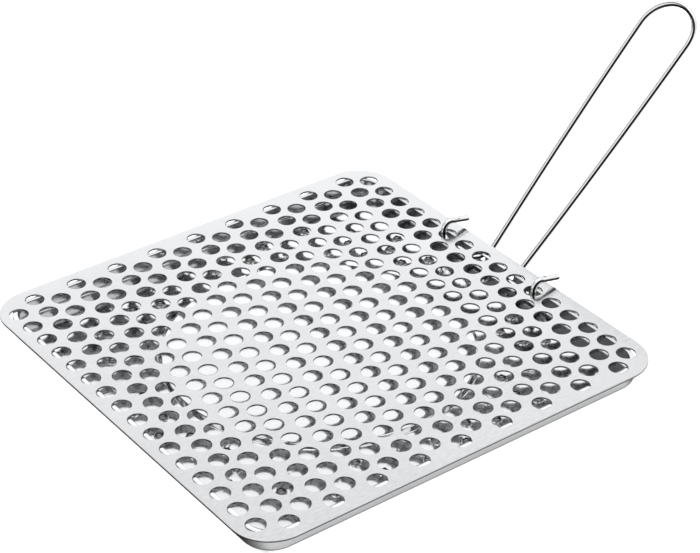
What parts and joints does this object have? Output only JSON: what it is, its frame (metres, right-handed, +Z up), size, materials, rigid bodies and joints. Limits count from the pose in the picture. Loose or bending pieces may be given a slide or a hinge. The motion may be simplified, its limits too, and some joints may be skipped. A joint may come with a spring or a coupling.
{
  "type": "toast_rack",
  "caption": "stove-top toast rack: a square perforated steel plate lifts off a shallow vented tray, with a bent wire handle hooked through the plate",
  "frame": {"origin": "centre of the tray's flat underside, on the plane the rack stands on", "axes": "+Z is up, out of the grill plate's top; +Y points from the tray's centre towards the handle's loop, level; +X makes the set right-handed and points towards the picture's front right edge. The two sides in X mirror each other"},
  "size_m": [0.2, 0.2967, 0.1021],
  "materials": {
    "tray_steel": "brushed",
    "plate_steel": "satin",
    "wire_steel": "polished"
  },
  "bodies": {
    "tray_body": {"tray": "tray_steel"},
    "grill_body": {"grill_plate": "plate_steel"},
    "handle_body": {"handle": "wire_steel"}
  },
  "joints": [
    {"name": "plate_lift", "type": "slide", "parent": "tray_body", "child": "grill_body", "axis": [0, 0, 1], "range_m": [0, 0.06]},
    {"name": "handle_swing", "type": "hinge", "parent": "grill_body", "child": "handle_body", "pos_m": [0, 0.0898, 0.0072], "axis": [1, 0, 0], "range_deg": [-15.5, 1]}
  ]
}
